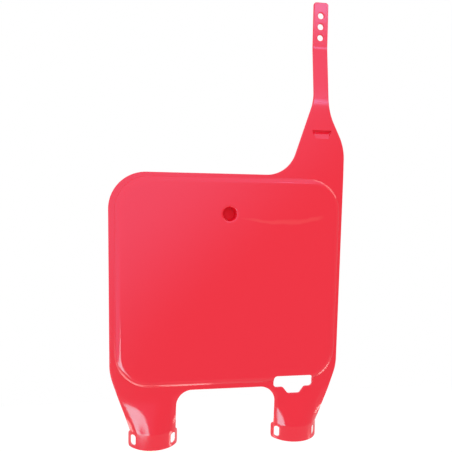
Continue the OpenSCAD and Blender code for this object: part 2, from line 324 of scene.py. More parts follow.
@dataclass(frozen=True)
class BoardSurface:
    """Front and back of the moulding as heights over the front view.

    Attributes:
        sizes: Sizes of the board.
        foot_blend: Radius of the fillet at the raised field's foot.
        hollow_blend: Radius of the edge round the field's hollow back.
        crease_blend: Half height of the rounding at a sleeve's crease.
        pocket_steep: Steepness of the pocket's ledge and sides.
        pocket_blend: Reach of the blends between the pocket's faces.
        pocket_lip: Reach of the blend from the pocket to the front.
        pocket_heel: Reach of the blend from the pocket to the back.
        probe: Half the distance over which a slope is measured.
    """

    sizes: BoardSizes = field(default_factory=BoardSizes)
    foot_blend: float = 0.8
    hollow_blend: float = 0.6
    crease_blend: float = 0.55
    pocket_steep: float = 4.0
    pocket_blend: float = 0.8
    pocket_lip: float = 0.35
    pocket_heel: float = 0.8
    probe: float = 0.01

    def share(self, t: Array) -> Array:
        """How far a leg has come forward at depth t below the panel's foot, as a share of the whole.

        An arc of the leg's bend radius runs into a straight line, and a parabola rounds the crease where
        the line meets the upright sleeve.
        """
        s = self.sizes
        reach = -s.ridge_set
        root = math.sqrt(s.leg_drop**2 - reach * (2 * s.leg_bend_r - reach))
        angle = 2 * math.atan((s.leg_drop - root) / (2 * s.leg_bend_r - reach))
        bend_t = s.leg_bend_r * math.sin(angle)
        rise = math.tan(angle)
        arc = s.leg_bend_r - np.sqrt(s.leg_bend_r**2 - np.clip(t, 0.0, bend_t) ** 2)
        line = s.leg_bend_r * (1 - math.cos(angle)) + (t - bend_t) * rise
        way = np.where(t < bend_t, arc, line)
        q = self.crease_blend
        curve = reach - (s.leg_drop + q - t) ** 2 * rise / (4 * q)
        way = np.where(t > s.leg_drop - q, np.where(t > s.leg_drop + q, reach, curve), way)
        return way / reach

    def leg_terms(self, x: Array, z: Array) -> tuple[Array, Array, Array]:
        """Terms of a leg's section, which is an arc of a circle on each side of its ridge.

        Args:
            x: Places across the board.
            z: Heights.

        Returns:
            Offsets from the leg's axis, places of the ridge, and curvatures of the arcs.
        """
        s = self.sizes
        t = s.foot_z - z
        offset = np.abs(x) - s.leg_x
        share = self.share(np.maximum(t, 0.0))
        crotch = np.clip(t, 0.0, s.crotch_r)
        inner = s.leg_hw + s.crotch_r - np.sqrt(s.crotch_r**2 - (s.crotch_r - crotch) ** 2)
        outer = s.leg_flare - (s.leg_flare - s.leg_hw) * np.clip(t, 0.0, s.leg_drop) / s.leg_drop
        half = np.where(offset < 0.0, inner, outer)
        sag = (s.edge_set - s.ridge_set) * share
        return offset, s.ridge_set * share, 2 * sag / (half**2 + sag**2)

    def field_depth(self, x: Array, z: Array) -> Array:
        """Distance inwards from the raised field's foot line, up to the radius of its corners."""
        s = self.sizes
        corners = np.array([corner[:2] for corner in field_corners(s, s.field_r)])
        ends = np.roll(corners, -1, axis=0)
        p = np.stack([x, z], axis=-1)[..., None, :]
        edge = ends - corners
        along = np.clip(((p - corners) * edge).sum(-1) / (edge**2).sum(-1), 0.0, 1.0)
        gap = np.sqrt((((p - corners) - along[..., None] * edge) ** 2).sum(-1)).min(-1)
        turn = edge[:, 0] * (p - corners)[..., 1] - edge[:, 1] * (p - corners)[..., 0]
        return np.where((turn > 0.0).all(-1), s.field_r, s.field_r - gap)

    def field_step(self, depth: Array, back: float, q: float) -> Array:
        """Step of the raised field: flat rim, blend, and shoulder arc up to the flat field.

        Args:
            depth: Distances inwards from the field's foot line.
            back: 0 for the front face, or the wall for the back face, whose arc shares the front's centre.
            q: Radius of the blend.

        Returns:
            Places behind the rim's front plane.
        """
        s = self.sizes
        outer = (s.shoulder_w**2 + s.field_rise**2) / (2 * s.field_rise)
        axis_y = outer - s.field_rise
        radius, base = outer - back, back - q
        foot = s.shoulder_w - math.sqrt((radius + q) ** 2 - (axis_y - base) ** 2)
        meet = s.shoulder_w - (s.shoulder_w - foot) * radius / (radius + q)
        reach = np.clip(s.shoulder_w - depth, 0.0, min(s.shoulder_w, radius))
        arc = axis_y - np.sqrt(radius**2 - reach**2)
        blend = base + np.sqrt(np.maximum(q**2 - np.clip(depth - foot, 0.0, q) ** 2, 0.0))
        return np.where(depth < foot, back, np.where(depth < meet, blend, arc))

    def strap_line(self, z: Array, back: float) -> Array:
        """Side view of the strap at heights z: two arcs and a leaning line.

        Args:
            z: Heights.
            back: 0 for the front face, or the wall for the back face.

        Returns:
            Places behind the panel's front plane.
        """
        s = self.sizes
        lean = math.atan(s.strap_set / (s.high_bend_z - s.low_bend_z))
        low_r, high_r = s.low_bend_r + s.wall, s.high_bend_r
        low = s.top_z + s.low_bend_z - low_r * math.tan(lean / 2)
        high = s.top_z + s.high_bend_z + high_r * math.tan(lean / 2)
        r1, r2 = low_r - back, high_r + back
        leave = low + r1 * math.sin(lean)
        reach = high - r2 * math.sin(lean)
        first = low_r - np.sqrt(r1**2 - np.clip(z - low, 0.0, r1 * math.sin(lean)) ** 2)
        line = low_r - r1 * math.cos(lean) + (z - leave) * math.tan(lean)
        last = s.strap_set - high_r + np.sqrt(r2**2 - np.clip(high - z, 0.0, r2 * math.sin(lean)) ** 2)
        return np.where(z < leave, first, np.where(z < reach, line, last))

    def wedge_depth(self, x: Array, z: Array, extra: float) -> Array:
        """Depth of the wedge grown by extra: a sloping floor under a ledge, between two sides."""
        s = self.sizes
        slope = s.wedge_d / s.wedge_h
        head = s.top_z + s.wedge_z + extra
        low = s.top_z + s.wedge_z - s.wedge_h - extra / math.sin(math.atan(slope))
        up = np.clip((z - low) / (head - low), 0.0, 1.0)
        half = (s.wedge_foot_w + (s.wedge_w - s.wedge_foot_w) * up) / 2 + extra
        floor = slope * (z - low)
        ledge = (head - z) * self.pocket_steep
        sides = (half - np.abs(x - s.wedge_x)) * self.pocket_steep
        return smooth_min(smooth_min(floor, ledge, self.pocket_blend), sides, self.pocket_blend)

    def leg_face(self, x: Array, z: Array, back: float) -> Array:
        """Place of a leg's front face, or with the wall as back of its back face."""
        offset, ridge, curve = self.leg_terms(x, z)
        curve = curve / (1 - curve * back)
        return ridge + back + offset**2 * curve / (1 + np.sqrt(np.maximum(1 - (curve * offset) ** 2, 0.0)))

    def front(self, x: Array, z: Array) -> Array:
        """Place of the front face behind the panel's front plane."""
        y = self.strap_line(z, 0.0) + self.field_step(self.field_depth(x, z), 0.0, self.foot_blend)
        y = y + smooth_max(np.zeros_like(x), self.wedge_depth(x, z, 0.0), self.pocket_lip)
        return np.where(z < self.sizes.foot_z, self.leg_face(x, z, 0.0), y)

    def back(self, x: Array, z: Array) -> Array:
        """Place of the back face behind the panel's front plane."""
        wall = self.sizes.wall
        y = self.strap_line(z, wall) + self.field_step(self.field_depth(x, z), wall, self.hollow_blend) - wall
        y = smooth_max(y, self.wedge_depth(x, z, wall), self.pocket_heel)
        return np.where(z < self.sizes.foot_z, self.leg_face(x, z, wall), y)

    def height(self, face: Face, places: Array) -> Array:
        """Height field of one face at places (x, z)."""
        call = self.front if face is Face.FRONT else self.back
        return call(places[:, 0], places[:, 1])

    def points(self, face: Face, places: Array) -> Array:
        """Points (x, y, z) of one face."""
        return np.stack([places[:, 0], self.height(face, places), places[:, 1]], axis=1)

    def slopes(self, face: Face, places: Array) -> Array:
        """Slopes of a face's height along x and z, from small central differences."""
        h = self.probe
        east, north = np.array([h, 0.0]), np.array([0.0, h])
        return np.stack([
            (self.height(face, places + east) - self.height(face, places - east)) / (2 * h),
            (self.height(face, places + north) - self.height(face, places - north)) / (2 * h),
        ], axis=1)

    def normals(self, face: Face, places: Array) -> Array:
        """Outward unit normals of one face."""
        slope = self.slopes(face, places)
        out = np.stack([slope[:, 0], -np.ones(len(slope)), slope[:, 1]], axis=1)
        return unit(out) * (1.0 if face is Face.FRONT else -1.0)

    def back_place(self, places: Array) -> Array:
        """Where the back face's edge lies for an edge point of the front face.

        The wall's end face stands square to the sheet, so round a leg the back edge is nearer to the
        leg's axis in the ratio of the two arcs' radii.
        """
        s = self.sizes
        offset, _, curve = self.leg_terms(places[:, 0], places[:, 1])
        moved = np.sign(places[:, 0]) * (s.leg_x + offset * (1 - curve * s.wall))
        return np.stack([np.where(places[:, 1] < s.foot_z, moved, places[:, 0]), places[:, 1]], axis=1)


def field_corners(s: BoardSizes, inwards: float) -> list[Corner]:
    """Corners (x, z, radius) of the raised field's foot line, moved inwards."""
    corners = np.array([
        [-s.side_x(s.foot_z) + s.rim_left, s.foot_z + s.rim_foot],
        [s.side_x(s.foot_z) - s.rim_right, s.foot_z + s.rim_foot],
        [s.side_x(s.top_z) - s.rim_right, s.top_z - s.rim_top],
        [-s.side_x(s.top_z) + s.rim_left, s.top_z - s.rim_top],
    ])
    e = unit(corners - np.roll(corners, 1, axis=0))
    f = np.roll(e, -1, axis=0)
    m = np.stack([-e[:, 1] - f[:, 1], e[:, 0] + f[:, 0]], axis=1)
    moved = corners + 2 * inwards * m / (m**2).sum(axis=1, keepdims=True)
    return [(float(x), float(z), max(s.field_r - inwards, 0.0)) for x, z in moved]


@dataclass(frozen=True)
class Rim:
    """One closed edge of the moulding in the front view, with the material on its left.

    Attributes:
        loop: Points (x, z) of its true outline on the front face.
        straight: Whether its wall runs straight back, as a hole's does, or stands square to the sheet.
    """

    loop: Array
    straight: bool = True


@dataclass(frozen=True)
class BoardOutlines:
    """The outlines of the board in the front view.

    Attributes:
        sizes: Sizes of the board.
        collar_r: Radius of the circle inside which the cup and the peg have their own surfaces.
        collar_n: Points of that circle.
        hole_count: Points of a strap hole.
        leg_step: Longest edge round the legs and the cut-out.
        neck_step: Longest edge round the strap.
        panel_step: Longest edge round the panel.
        leg_up: Height above the panel's foot up to which the legs' step holds.
        neck_up: Height above the panel's top from which the strap's step holds.
        ear_n: Points of an ear's corner.
        slot_step: Longest edge of a slot.
        slot_slack: What a slot's end radius lacks to half its width, so that its arcs stay apart.
        coarse_arc: Longest edge of an arc between the legs.
        fine_arc: Longest edge of an arc round the panel and the strap.
        small_arc: Longest edge of an arc of the cut-out.
        tiny_arc: Longest edge of an arc of a slot.
    """

    sizes: BoardSizes = field(default_factory=BoardSizes)
    collar_r: float = 11.0
    collar_n: int = 96
    hole_count: int = 44
    leg_step: float = 1.2
    neck_step: float = 1.8
    panel_step: float = 2.4
    leg_up: float = 3.0
    neck_up: float = 30.0
    ear_n: int = 9
    slot_step: float = 0.8
    slot_slack: float = 0.001
    coarse_arc: float = 1.0
    fine_arc: float = 0.8
    small_arc: float = 0.6
    tiny_arc: float = 0.5

    def spacing(self, places: Array) -> Array:
        """Longest edge at given places."""
        s, z = self.sizes, places[:, 1]
        upper = np.where(z > s.top_z + self.neck_up, self.neck_step, self.panel_step)
        return np.where(z < s.foot_z + self.leg_up, self.leg_step, upper)

    def ear(self) -> Array:
        """Outer outline of a sleeve's ear, as (offset from the leg's axis, z), from top to bottom."""
        s = self.sizes
        turn = np.linspace(0.0, QUARTER, self.ear_n)
        back = s.ear_set - s.ear_r * (1 - np.sin(turn))
        drop = s.ear_r * (1 - np.cos(turn))
        offset = np.sqrt(s.sleeve_out_r**2 - (s.sleeve_set - back) ** 2)
        upper = np.stack([offset, s.sleeve_top_z - drop], axis=1)
        lower = np.stack([offset, s.sleeve_foot_z + drop], axis=1)[::-1]
        return np.concatenate([upper, lower])

    def outer(self) -> Rim:
        """The board's own outline, anticlockwise from the left sleeve's lower edge."""
        s = self.sizes
        ear = self.ear()
        slope = (s.leg_flare - s.leg_hw) / s.leg_drop
        lean = (s.panel_w - s.panel_foot_w) / 2 / s.panel_h
        turn_z = s.foot_z + (s.panel_foot_w / 2 - s.leg_x - s.leg_flare) / (slope - lean)
        edge = s.leg_x + s.leg_hw
        crotch = rounded([
            (s.leg_hw - s.leg_x, s.sleeve_top_z, 0.0),
            (s.leg_hw - s.leg_x, s.foot_z, s.crotch_r),
            (s.leg_x - s.leg_hw, s.foot_z, s.crotch_r),
            (s.leg_x - s.leg_hw, s.sleeve_top_z, 0.0),
        ], self.coarse_arc, closed=False)
        around = rounded([
            (edge, s.sleeve_top_z, 0.0),
            (s.side_x(turn_z), turn_z, s.leg_turn_r),
            (s.side_x(s.top_z), s.top_z, 0.0),
            (s.side_x(s.top_z), s.top_z + s.neck_turn_h, s.neck_turn_r),
            (s.strap_x + s.strap_w / 2, s.top_z + s.neck_right_h, s.neck_tip_r),
            (s.strap_x + s.strap_w / 2, s.end_z, s.strap_end_r),
            (s.strap_x - s.strap_w / 2, s.end_z, s.strap_end_r),
            (s.strap_x - s.strap_w / 2, s.top_z + s.neck_left_h, s.neck_tip_r),
            (s.strap_x - s.neck_spread, s.top_z, s.neck_root_r),
            (-s.side_x(s.top_z), s.top_z, s.corner_r),
            (-s.side_x(turn_z), turn_z, s.leg_turn_r),
            (-edge, s.sleeve_top_z, 0.0),
        ], self.fine_arc, closed=False)
        out, mirror = np.array([1.0, 1.0]), np.array([-1.0, 1.0])
        axis = np.array([s.leg_x, 0.0])
        outwards, inwards = ear * out + axis, ear * mirror + axis
        loop = np.concatenate([
            (inwards * mirror)[::-1][1:],
            crotch[1:-1],
            inwards[:-1],
            outwards[::-1][:-1],
            around[1:-1],
            (outwards * mirror)[:-1],
        ])
        return Rim(densify(loop, self.spacing), straight=False)

    def cut_out(self) -> Rim:
        """The T shaped cut-out over the right leg, clockwise."""
        s = self.sizes
        head = s.foot_z + s.cut_up
        ledge = head - s.cut_h
        bottom = ledge - s.notch_h
        mid = s.cut_x + s.notch_shift
        left, right = s.cut_x - s.cut_w / 2, s.cut_x + s.cut_w / 2
        r = s.cut_r
        corners = [
            (left, ledge, r),
            (left, head, r),
            (right, head, r),
            (right, ledge, r),
            (mid + s.notch_w / 2, ledge, r),
            (mid + s.notch_foot_w / 2, bottom, r),
            (mid - s.notch_foot_w / 2, bottom, r),
            (mid - s.notch_w / 2, ledge, r),
        ]
        return Rim(densify(rounded(corners, self.small_arc), even(self.leg_step)))

    @staticmethod
    def hole(x: float, z: float, radius: float, count: int) -> Rim:
        """A round hole, clockwise."""
        angles = -2 * math.pi * np.arange(count) / count
        return Rim(np.stack([x + radius * np.cos(angles), z + radius * np.sin(angles)], axis=1))

    def slots(self) -> list[Rim]:
        """The four strap slots, clockwise."""
        s = self.sizes
        ear_x = math.sqrt(s.sleeve_out_r**2 - (s.sleeve_set - s.ear_set) ** 2)
        shift = ear_x - s.slot_edge - s.slot_w / 2
        mid = (s.sleeve_top_z + s.sleeve_foot_z) / 2
        half, tall = s.slot_w / 2, s.slot_l / 2
        ends = [(-half, -tall), (-half, tall), (half, tall), (half, -tall)]
        shape = rounded([(x, z, half - self.slot_slack) for x, z in ends], self.tiny_arc)
        shape = densify(shape, even(self.slot_step))
        places = (-s.leg_x - shift, -s.leg_x + shift, s.leg_x - shift, s.leg_x + shift)
        return [Rim(shape + np.array([x, mid])) for x in places]

    def rims(self) -> list[Rim]:
        """All edges, the outline first."""
        s = self.sizes
        top = s.end_z - s.hole_end
        holes = [
            self.hole(s.strap_x, top - k * s.hole_pitch, s.hole_d / 2, self.hole_count)
            for k in range(s.hole_n)
        ]
        return [self.outer(), self.cut_out(), *holes, *self.slots()]

    def collar(self) -> Array:
        """Circle round the cup and the peg where their own surfaces take over, clockwise."""
        return self.hole(0.0, 0.0, self.collar_r, self.collar_n).loop


@dataclass
class Shell:
    """Vertices, normals and faces gathered into one closed mesh."""

    points: list[Array] = field(default_factory=list)
    normals: list[Array] = field(default_factory=list)
    triangles: list[Ints] = field(default_factory=list)
    quads: list[Ints] = field(default_factory=list)
    count: int = 0

    def add(self, points: Array, normals: Array) -> Ints:
        """Adds vertices and returns their numbers."""
        self.points.append(points)
        self.normals.append(normals)
        numbers = np.arange(self.count, self.count + len(points))
        self.count += len(points)
        return numbers

    def band(self, ring: Ints, beyond: Ints) -> None:
        """Joins a closed ring to the next one, on the side away from the material in the front view."""
        self.quads.append(np.stack([ring, beyond, np.roll(beyond, -1), np.roll(ring, -1)], axis=1))

    def fan(self, ring: Ints, centre: int) -> None:
        """Closes a ring with triangles to one vertex."""
        self.triangles.append(np.stack([ring, np.full_like(ring, centre), np.roll(ring, -1)], axis=1))

    def mesh(self, name: str) -> bpy.types.Mesh:
        """The finished mesh, in metres, shaded by the gathered normals."""
        mesh = bpy.data.meshes.new(name)
        faces = np.concatenate(self.triangles).tolist() + np.concatenate(self.quads).tolist()
        mesh.from_pydata((np.concatenate(self.points) * MM).tolist(), [], faces)
        mesh.validate()
        mesh.update()
        mesh.normals_split_custom_set_from_vertices(unit(np.concatenate(self.normals)).tolist())
        return mesh


@dataclass(frozen=True)
class MeshPlan:
    """Where the places that shape the mesh lie, in millimetres.

    Attributes:
        sizes: Sizes of the board.
        panel_step: Step of the grid over the panel and the neck.
        border: Gap between that grid and the panel's side and foot, and round the pocket's own grid.
        neck_h: Height above the panel's top where the strap's own grid takes over.
        shoulder: Depths in the raised field between which contour lines take the grid's place.
        pocket: Half width, foot and head of the pocket's own grid, on the front and on the back.
        pocket_step: Step of that grid.
        strap: Half width and step across the strap, and step along it.
        arc: Largest angle and step in degrees round a sleeve.
        flank: Start, end and step of a leg's columns beyond the sleeve.
        leg_step: Step up the legs.
        foot_up: Height of a leg's lowest row above the sleeve's foot.
        over: Height above the panel's foot where a leg's rows end.
        crease: Rows about a sleeve's crease.
        crease_gap: Distances to the crease, below and above it, where the even rows stop and start.
        contours: Depths of the raised field's contour lines, on the front and on the back.
        contour_arc: Longest edge of an arc of a contour line.
        contour_step: Longest edge of a contour line.
        gaps: Least distance of loose places to an outline, on the legs, on the strap and elsewhere.
        strap_z: Height from which the strap's distance holds.
        merge: Distance under which two places are one.
    """

    sizes: BoardSizes = field(default_factory=BoardSizes)
    panel_step: float = 3.0
    border: float = 1.0
    neck_h: float = 70.0
    shoulder: tuple[float, float] = (-1.6, 7.4)
    pocket: tuple[Corner, Corner] = ((12.6, 81.4, 92.4), (15.6, 76.2, 94.2))
    pocket_step: float = 0.45
    strap: Corner = (7.2, 1.6, 1.5)
    arc: tuple[float, float] = (69.0, 3.0)
    flank: Corner = (27.0, 40.0, 1.5)
    leg_step: float = 1.3
    foot_up: float = 0.6
    over: float = 0.5
    crease: tuple[float, ...] = (-0.9, -0.55, -0.28, 0.0, 0.28, 0.55, 0.9)
    crease_gap: Span = (1.6, 2.0)
    contours: tuple[tuple[float, ...], tuple[float, ...]] = (
        (-0.33, -0.12, 0.05, 0.23, 0.8, 1.6, 2.5, 3.5, 4.5, 5.4, 6.0, 6.8),
        (0.4, 0.86, 1.0, 1.16, 1.32, 1.8, 2.5, 3.3, 4.2, 5.1, 6.0, 6.8),
    )
    contour_arc: float = 2.0
    contour_step: float = 2.4
    gaps: Corner = (0.42, 0.7, 1.3)
    strap_z: float = 75.0
    merge: float = 1e-5

    def panel(self, surface: BoardSurface, wide: float, low: float, high: float) -> Array:
        """Grid over the panel and the neck, without the field's shoulder and the pocket's own grid."""
        s = self.sizes
        half = s.panel_w / 2
        places = grid(
            np.arange(self.border - half, half, self.panel_step),
            np.arange(s.foot_z + self.border, s.top_z + self.neck_h, self.panel_step),
        )
        depth = surface.field_depth(places[:, 0], places[:, 1])
        places = places[(depth < self.shoulder[0]) | (depth > self.shoulder[1])]
        x, z = places[:, 0], places[:, 1]
        beside = np.abs(x - s.wedge_x) >= wide + self.border
        return places[beside | (z <= low - self.border) | (z >= high + self.border)]

    def leg(self) -> Array:
        """Grid over the right leg: columns at even angles round its sleeve, and closer rows at its crease."""
        s = self.sizes
        limit, turn = self.arc
        angles = np.radians(np.arange(-limit, limit + 0.1, turn))
        flank = np.arange(*self.flank)
        columns = np.concatenate([-flank[::-1], s.sleeve_out_r * np.sin(angles), flank])
        rows = np.concatenate([
            np.arange(s.sleeve_foot_z + self.foot_up, s.sleeve_top_z - self.crease_gap[0], self.leg_step),
            s.sleeve_top_z + np.array(self.crease),
            np.arange(s.sleeve_top_z + self.crease_gap[1], s.foot_z + self.over, self.leg_step),
        ])
        return grid(s.leg_x + columns, rows)

    def loose(self, face: Face, surface: BoardSurface) -> Array:
        """Grid points of every region of one face."""
        s = self.sizes
        wide, low, high = self.pocket[face is Face.BACK]
        across = np.arange(-wide, wide + 0.01, self.pocket_step)
        pocket = grid(s.wedge_x + across, np.arange(low, high, self.pocket_step))
        half, wide_step, long_step = self.strap
        along = np.arange(s.top_z + self.neck_h, s.end_z, long_step)
        strap = grid(s.strap_x + np.arange(-half, half + 0.1, wide_step), along)
        panel, leg = self.panel(surface, wide, low, high), self.leg()
        return np.concatenate([panel, pocket, strap, leg, leg * np.array([-1.0, 1.0])])

    def lines(self, face: Face) -> list[Array]:
        """Closed contour lines of the raised field's shoulder."""
        step = even(self.contour_step)
        return [
            densify(rounded(field_corners(self.sizes, level), self.contour_arc), step)
            for level in self.contours[face is Face.BACK]
        ]

    def clear(self, places: Array, bounds: Array) -> Array:
        """The places that keep their distance from all outlines."""
        z = places[:, 1]
        leg, strap, other = self.gaps
        limit = np.where(z < self.sizes.foot_z, leg, np.where(z > self.strap_z, strap, other))
        return places[clearance(places, bounds) > limit]


@dataclass
class BoardMoulding:
    """Builds and dresses the one moulding.

    Attributes:
        sizes: Sizes of the board.
        front_edge: Radius of the rounded edges on the front face.
        back_edge: Radius of the rounded edges on the back face.
        edge_steps: Steps in a rounded edge.
        look_in: Distance inside an edge at which the face's slope is taken.
        bend_steps: Steps in a fillet of the cup or the peg.
        lip_steps: Steps in the cup's lip.
        cup_fillet: Radius of the fillet at the cup's bottom.
        peg_fillet: Radius of the fillet at the peg's root.
        peg_edge: Radius of the peg's rounded end.
        lip_flat: Length of the flat round the cup's lip.
        root_flat: Length of the flat round the fillet at the peg's root.
        land: Length beside a fillet that keeps the shading of its flat or wall.
    """

    sizes: BoardSizes = field(default_factory=BoardSizes)
    front_edge: float = 0.85
    back_edge: float = 0.35
    edge_steps: int = 4
    look_in: float = 0.05
    bend_steps: int = 6
    lip_steps: int = 8
    cup_fillet: float = 1.2
    peg_fillet: float = 1.0
    peg_edge: float = 0.7
    lip_flat: float = 0.7
    root_flat: float = 0.25
    land: float = 0.6

    def __post_init__(self) -> None:
        """Sets up the surfaces and outlines."""
        self.surface = BoardSurface(self.sizes)
        self.outlines = BoardOutlines(self.sizes)
        self.plan = MeshPlan(self.sizes)
        self.shell = Shell()

    def edge_frame(self, face: Face, loop: Array) -> tuple[Array, Array]:
        """Points of an edge, and unit directions in the surface that point off the material.

        Args:
            face: Face that the edge bounds.
            loop: Places (x, z) of the edge.

        Returns:
            Points (x, y, z), and directions (x, y, z).
        """
        out = loop_normals(loop)
        slope = (self.surface.slopes(face, loop - self.look_in * out) * out).sum(axis=1)
        return self.surface.points(face, loop), unit(np.stack([out[:, 0], slope, out[:, 1]], axis=1))

    @staticmethod
    def within(places: Array, loops: list[Array]) -> NDArray[np.bool_]:
        """Whether each place lies inside the first outline and outside the others."""
        return inside(places, loops[0]) & ~np.any([inside(places, loop) for loop in loops[1:]], axis=0)

    def sheet(self, face: Face, rims: list[Array], collar: Array) -> list[Ints]:
        """Meshes one face between its outlines.

        Args:
            face: Face to mesh.
            rims: Outlines of the meshed part, the outer one first.
            collar: Circle round the cup or the peg.

        Returns:
            Vertex numbers along each outline, and along the circle last.
        """
        loops = [*rims, collar]
        contours = self.plan.lines(face)
        free = self.plan.loose(face, self.surface)
        free = free[self.within(free, loops)]
        free = self.plan.clear(free, np.concatenate(loops))
        chains = [*loops, *contours]
        sizes = np.array([len(chain) for chain in chains])
        starts = np.cumsum(sizes) - sizes
        places = np.concatenate([*chains, free])
        edges = np.concatenate([
            np.stack([start + np.arange(n), start + (np.arange(n) + 1) % n], axis=1)
            for start, n in zip(starts, sizes)
        ])
        solved = delaunay_2d_cdt(places.tolist(), edges.tolist(), [], 0, self.plan.merge)
        flat = np.array([tuple(v) for v in solved[0]]) if len(solved[0]) != len(places) else places
        triangles = np.array(solved[2], dtype=np.int64)
        triangles = triangles[self.within(flat[triangles].mean(axis=1), loops)]
        numbers = self.shell.add(self.surface.points(face, flat), self.surface.normals(face, flat))
        faces = numbers[triangles]
        self.shell.triangles.append(faces if face is Face.FRONT else faces[:, ::-1])
        LOG.info("%s face: %d places, %d triangles", face.value, len(flat), len(faces))
        return [numbers[start : start + n] for start, n in zip(starts[: len(loops)], sizes)]

    def round_edge(self, rim: Rim, front: Ints, back: Ints) -> None:
        """Joins the two faces round one edge: a rounded corner, the wall's end face, a rounded corner.

        Each corner is an arc that leaves the face along its own direction and meets the end face along
        the line between the two faces' edge points.
        """
        back_loop = rim.loop if rim.straight else self.surface.back_place(rim.loop)
        front_points, front_out = self.edge_frame(Face.FRONT, rim.loop)
        back_points, back_out = self.edge_frame(Face.BACK, back_loop)
        down = unit(back_points - front_points)
        along = unit(np.roll(front_points, -1, axis=0) - np.roll(front_points, 1, axis=0))
        ring = front
        turns = np.linspace(0.0, QUARTER, self.edge_steps + 1)[1:]
        passes = [
            (front_points, front_out, down, self.front_edge, turns),
            (back_points, back_out, -down, self.back_edge, turns[::-1]),
        ]
        for points, out, inwards, radius, angles in passes:
            for angle in angles:
                moved = points + radius * (inwards * (1 - math.cos(angle)) - out * (1 - math.sin(angle)))
                curve = out * math.cos(angle) + inwards * math.sin(angle)
                normal = unit(np.cross(curve, along))
                sign = np.sign((normal * (out * math.sin(angle) - inwards * math.cos(angle))).sum(axis=1))
                beyond = self.shell.add(moved, normal * sign[:, None])
                self.shell.band(ring, beyond)
                ring = beyond
        self.shell.band(ring, back)

    def lathe(self, collar: Ints, profile: Array, back: bool) -> None:
        """Turns a profile about the peg's axis, from the circle inwards, and closes it at the axis.

        Args:
            collar: Vertex numbers of the circle, clockwise in the front view.
            profile: Points (radius, y) from just inside the circle to the axis.
            back: Whether the profile belongs to the back face.
        """
        angles = -2 * math.pi * np.arange(len(collar)) / len(collar)
        across, up = np.cos(angles), np.sin(angles)
        whole = np.concatenate([[[self.outlines.collar_r, profile[0, 1]]], profile])
        step = unit(np.gradient(whole, axis=0))[1:]
        side = -1.0 if back else 1.0
        ring = collar
        for (radius, y), (dr, dy) in zip(profile[:-1], step[:-1]):
            points = np.stack([radius * across, np.full(len(angles), y), radius * up], axis=1)
            normal = np.stack([dy * across, np.full(len(angles), -dr), dy * up], axis=1)
            beyond = self.shell.add(points, -side * normal)
            self.shell.band(*((beyond, ring) if back else (ring, beyond)))
            ring = beyond
        centre = self.shell.add(np.array([[0.0, profile[-1, 1], 0.0]]), np.array([[0.0, -side, 0.0]]))[0]
        self.shell.fan(ring[::-1] if back else ring, int(centre))

    def profile(
        self, radius: float, ends: Span, root_r: float, flat: float, tip_r: float, steps: int
    ) -> Array:
        """Profile of the blind cup or the hollow peg, from its rounded root along its wall to its end.

        Args:
            radius: Radius of the wall.
            ends: Places y of the root and of the closed end.
            root_r: Radius of the cup's lip or of the fillet at the peg's root.
            flat: Length of the flat beside that.
            tip_r: Radius of the fillet in the cup's bottom or of the peg's rounded end.
            steps: Steps in the rounded root.

        Returns:
            Points (radius, y).
        """
        first, last = ends
        root = np.linspace(0.0, QUARTER, steps + 1)
        tip = np.linspace(0.0, QUARTER, self.bend_steps + 1)
        return np.concatenate([
            [[radius + root_r + flat, first]],
            np.stack([radius + root_r * (1 - np.sin(root)), first + root_r * (1 - np.cos(root))], axis=1),
            [[radius, first + root_r + self.land], [radius, last - tip_r - self.land]],
            np.stack([radius - tip_r * (1 - np.cos(tip)), last - tip_r * (1 - np.sin(tip))], axis=1),
            [[radius - tip_r - self.land, last], [0.0, last]],
        ])

    def turned(self, front: Ints, back: Ints) -> None:
        """Adds the cup inside the front face's circle and the peg inside the back face's."""
        s = self.sizes
        cup_ends, peg_ends = (-s.field_rise, s.peg_l - s.wall), (0.0, s.peg_l)
        cup = self.profile(s.cup_r, cup_ends, s.lip_r, self.lip_flat, self.cup_fillet, self.lip_steps)
        peg = self.profile(
            s.cup_r + s.wall, peg_ends, self.peg_fillet, self.root_flat, self.peg_edge, self.bend_steps
        )
        self.lathe(front, cup, back=False)
        self.lathe(back, peg, back=True)

    def build(self) -> bpy.types.Object:
        """Makes the mesh, dresses it and lets it stand for the CAD node."""
        rims = self.outlines.rims()
        collar = self.outlines.collar()
        insets: dict[Face, list[Array]] = {}
        for face, radius in ((Face.FRONT, self.front_edge), (Face.BACK, self.back_edge)):
            insets[face] = []
            for rim in rims:
                moved = face is Face.BACK and not rim.straight
                loop = self.surface.back_place(rim.loop) if moved else rim.loop
                _, out = self.edge_frame(face, loop)
                insets[face].append(loop - radius * out[:, [0, 2]])
        front = self.sheet(Face.FRONT, insets[Face.FRONT], collar)
        back = self.sheet(Face.BACK, insets[Face.BACK], collar)
        for rim, front_ring, back_ring in zip(rims, front, back):
            self.round_edge(rim, front_ring, back_ring)
        self.turned(front[-1], back[-1])
        piece = bpy.data.objects.new(PIECE, self.shell.mesh(PIECE))
        bpy.context.scene.collection.objects.link(piece)
        piece.data.materials.append(RedPolypropylene().material())
        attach(piece, "root")
        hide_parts(NODE)
        LOG.info("piece %s: %d faces", piece.name, len(piece.data.polygons))
        return piece


def linear_colour(hex_code: str) -> tuple[float, float, float, float]:
    """Linear RGBA of an sRGB colour written as #rrggbb."""
    parts = [int(hex_code[i : i + 2], 16) / 255 for i in (1, 3, 5)]
    red, green, blue = (p / 12.92 if p <= 0.04045 else ((p + 0.055) / 1.055) ** 2.4 for p in parts)
    return red, green, blue, 1.0


